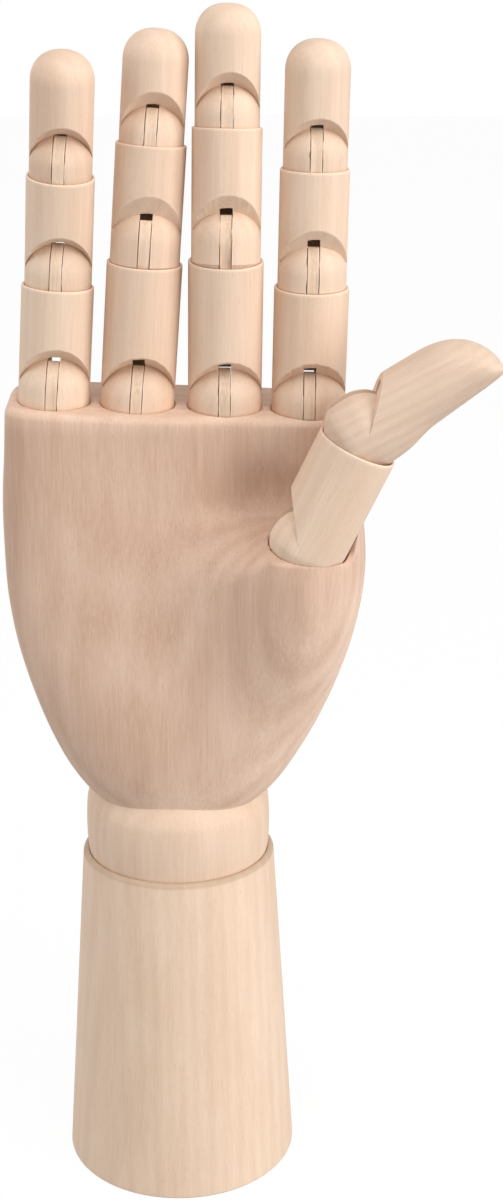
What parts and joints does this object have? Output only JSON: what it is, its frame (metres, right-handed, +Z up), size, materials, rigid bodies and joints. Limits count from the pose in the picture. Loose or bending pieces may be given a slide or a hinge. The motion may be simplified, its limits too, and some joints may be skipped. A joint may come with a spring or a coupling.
{
  "type": "articulated artist's hand",
  "caption": "Wooden artist's hand for drawing practice: jointed fingers and thumb on a carved palm that rocks on a sprung barrel wrist over a turned conical base.",
  "frame": {"origin": "centre of the underside of the turned base", "axes": "+Z up along the base's axis, -Y the way the palm faces, +X the thumb's side"},
  "size_m": [0.1184, 0.0712, 0.3047],
  "materials": {
    "pale_wood": "smooth bare wood",
    "pink_wood": "smooth bare wood",
    "slat_wood": "sawn bare wood",
    "steel": "bright wire"
  },
  "bodies": {
    "base": {"base": "pale_wood", "base_screw_eye": "steel"},
    "spring": {"wrist_spring": "steel"},
    "barrel": {"wrist_barrel": "pale_wood"},
    "palm": {"palm": "pink_wood", "palm_screw_eye": "steel", "little_lower_tongue": "slat_wood", "ring_lower_tongue": "slat_wood", "middle_lower_tongue": "slat_wood", "index_lower_tongue": "slat_wood", "thumb_lower_tongue": "slat_wood"},
    "little_lower": {"little_lower": "pale_wood", "little_lower_pin": "steel", "little_middle_tongue": "slat_wood"},
    "little_middle": {"little_middle": "pale_wood", "little_middle_pin": "steel", "little_tip_tongue": "slat_wood"},
    "little_tip": {"little_tip": "pale_wood", "little_tip_pin": "steel"},
    "ring_lower": {"ring_lower": "pale_wood", "ring_lower_pin": "steel", "ring_middle_tongue": "slat_wood"},
    "ring_middle": {"ring_middle": "pale_wood", "ring_middle_pin": "steel", "ring_tip_tongue": "slat_wood"},
    "ring_tip": {"ring_tip": "pale_wood", "ring_tip_pin": "steel"},
    "middle_lower": {"middle_lower": "pale_wood", "middle_lower_pin": "steel", "middle_middle_tongue": "slat_wood"},
    "middle_middle": {"middle_middle": "pale_wood", "middle_middle_pin": "steel", "middle_tip_tongue": "slat_wood"},
    "middle_tip": {"middle_tip": "pale_wood", "middle_tip_pin": "steel"},
    "index_lower": {"index_lower": "pale_wood", "index_lower_pin": "steel", "index_middle_tongue": "slat_wood"},
    "index_middle": {"index_middle": "pale_wood", "index_middle_pin": "steel", "index_tip_tongue": "slat_wood"},
    "index_tip": {"index_tip": "pale_wood", "index_tip_pin": "steel"},
    "thumb_lower": {"thumb_lower": "pale_wood", "thumb_lower_pin": "steel", "thumb_tip_tongue": "slat_wood"},
    "thumb_tip": {"thumb_tip": "pale_wood", "thumb_tip_pin": "steel"}
  },
  "joints": [
    {"name": "wrist_swivel", "type": "hinge", "parent": "base", "child": "spring", "pos_m": [0, 0, 0.0975], "axis": [0, 0, 1], "range_deg": [-60, 60]},
    {"name": "wrist_lean", "type": "hinge", "parent": "spring", "child": "barrel", "pos_m": [0, 0, 0.0975], "axis": [0, 1, 0], "range_deg": [-15, 15], "deforming": ["wrist_spring"]},
    {"name": "wrist_flex", "type": "hinge", "parent": "barrel", "child": "palm", "pos_m": [0, 0, 0.0975], "axis": [1, 0, 0], "range_deg": [-30, 20], "deforming": ["wrist_spring"]},
    {"name": "little_lower_bend", "type": "hinge", "parent": "palm", "child": "little_lower", "pos_m": [-0.028, -0.01055, 0.21812], "axis": [0.9976, 0.0061, -0.0695], "range_deg": [-20, 75]},
    {"name": "little_middle_bend", "type": "hinge", "parent": "little_lower", "child": "little_middle", "pos_m": [-0.02608, -0.0117, 0.24559], "axis": [0.9976, 0.0061, -0.0695], "range_deg": [-15, 68]},
    {"name": "little_tip_bend", "type": "hinge", "parent": "little_middle", "child": "little_tip", "pos_m": [-0.02426, -0.01638, 0.27133], "axis": [0.9976, 0.0061, -0.0695], "range_deg": [-15, 60]},
    {"name": "ring_lower_bend", "type": "hinge", "parent": "palm", "child": "ring_lower", "pos_m": [-0.0079, -0.01037, 0.21604], "axis": [0.9973, 0.0064, -0.073], "range_deg": [-20, 62]},
    {"name": "ring_middle_bend", "type": "hinge", "parent": "ring_lower", "child": "ring_middle", "pos_m": [-0.00511, -0.01262, 0.25395], "axis": [0.9973, 0.0064, -0.073], "range_deg": [-15, 75]},
    {"name": "ring_tip_bend", "type": "hinge", "parent": "ring_middle", "child": "ring_tip", "pos_m": [-0.00338, -0.01286, 0.27761], "axis": [0.9973, 0.0064, -0.073], "range_deg": [-15, 60]},
    {"name": "middle_lower_bend", "type": "hinge", "parent": "palm", "child": "middle_lower", "pos_m": [0.01305, -0.01035, 0.21578], "axis": [0.9999, 0.0012, -0.0139], "range_deg": [-20, 66]},
    {"name": "middle_middle_bend", "type": "hinge", "parent": "middle_lower", "child": "middle_middle", "pos_m": [0.01359, -0.01466, 0.25427], "axis": [0.9999, 0.0012, -0.0139], "range_deg": [-15, 75]},
    {"name": "middle_tip_bend", "type": "hinge", "parent": "middle_middle", "child": "middle_tip", "pos_m": [0.01397, -0.01385, 0.28173], "axis": [0.9999, 0.0012, -0.0139], "range_deg": [-15, 60]},
    {"name": "index_lower_bend", "type": "hinge", "parent": "palm", "child": "index_lower", "pos_m": [0.0333, -0.01029, 0.21516], "axis": [0.9998, 0.0015, -0.0174], "range_deg": [-20, 52]},
    {"name": "index_middle_bend", "type": "hinge", "parent": "index_lower", "child": "index_middle", "pos_m": [0.03385, -0.01271, 0.24651], "axis": [0.9998, 0.0015, -0.0174], "range_deg": [-15, 75]},
    {"name": "index_tip_bend", "type": "hinge", "parent": "index_middle", "child": "index_tip", "pos_m": [0.03431, -0.01381, 0.27288], "axis": [0.9998, 0.0015, -0.0174], "range_deg": [-15, 60]},
    {"name": "thumb_lower_swing", "type": "hinge", "parent": "palm", "child": "thumb_lower", "pos_m": [0.0335, -0.02859, 0.18333], "axis": [0, 0.9962, 0.0872], "range_deg": [-38, 3]},
    {"name": "thumb_tip_swing", "type": "hinge", "parent": "thumb_lower", "child": "thumb_tip", "pos_m": [0.04664, -0.03105, 0.21141], "axis": [0, 0.9962, 0.0872], "range_deg": [-75, 8]}
  ]
}
